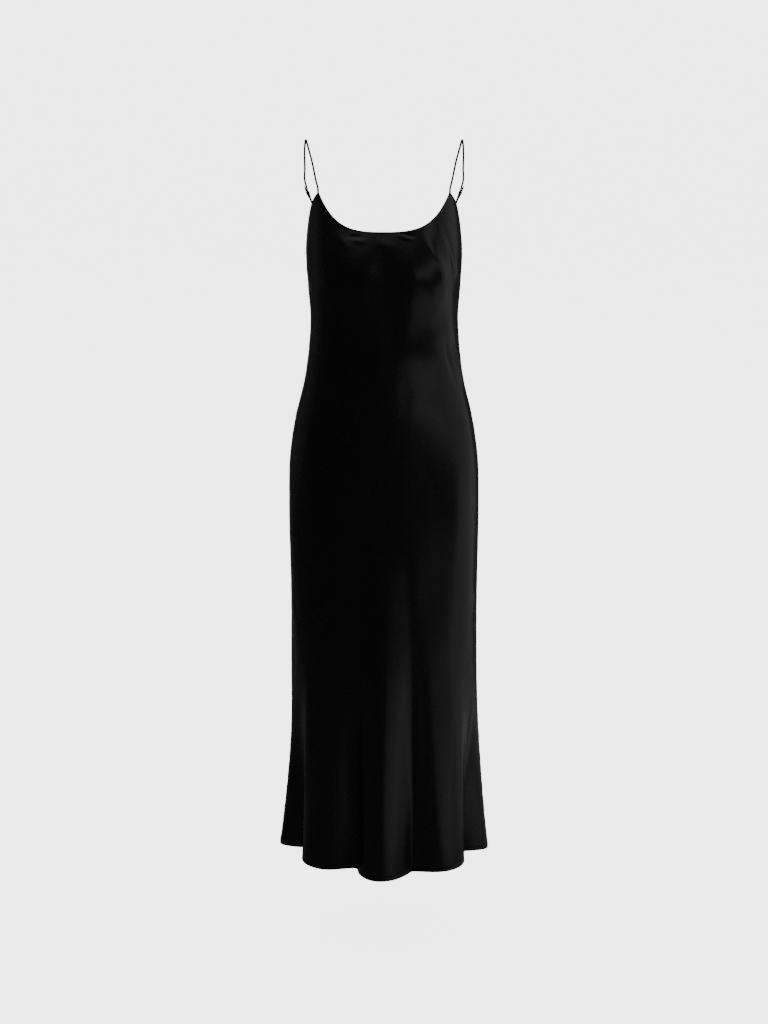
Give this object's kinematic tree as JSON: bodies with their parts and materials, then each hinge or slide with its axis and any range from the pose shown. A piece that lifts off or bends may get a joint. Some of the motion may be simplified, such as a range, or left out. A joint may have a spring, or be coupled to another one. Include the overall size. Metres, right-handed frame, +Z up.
{
  "type": "slip dress",
  "caption": "Midi slip dress in black satin with a scooped front, thin adjustable straps and a softly fluted hem, hollow in its worn form.",
  "frame": {"origin": "middle of the shoulder line, level with the undersides of the two straps where they rest on the wearer's shoulders", "axes": "+Z up, -Y out of the dress's front, +X to the wearer's left"},
  "size_m": [0.3763, 0.3264, 1.2574],
  "materials": {
    "satin": "black satin with a soft, slightly violet sheen",
    "binding": "the same satin, folded to a narrow stitched edge",
    "rouleau": "the same satin, turned to a thin round strap",
    "hardware": "gloss black enamel"
  },
  "bodies": {
    "root": {"front_panel": "satin", "back_panel": "satin", "neck_binding": "binding", "left_armhole_binding": "binding", "right_armhole_binding": "binding", "back_binding": "binding", "left_strap": "rouleau", "right_strap": "rouleau", "left_strap_loop": "rouleau", "right_strap_loop": "rouleau", "left_ring_tab": "rouleau", "right_ring_tab": "rouleau", "left_slider": "hardware", "right_slider": "hardware", "left_ring": "hardware", "right_ring": "hardware"}
  },
  "joints": []
}
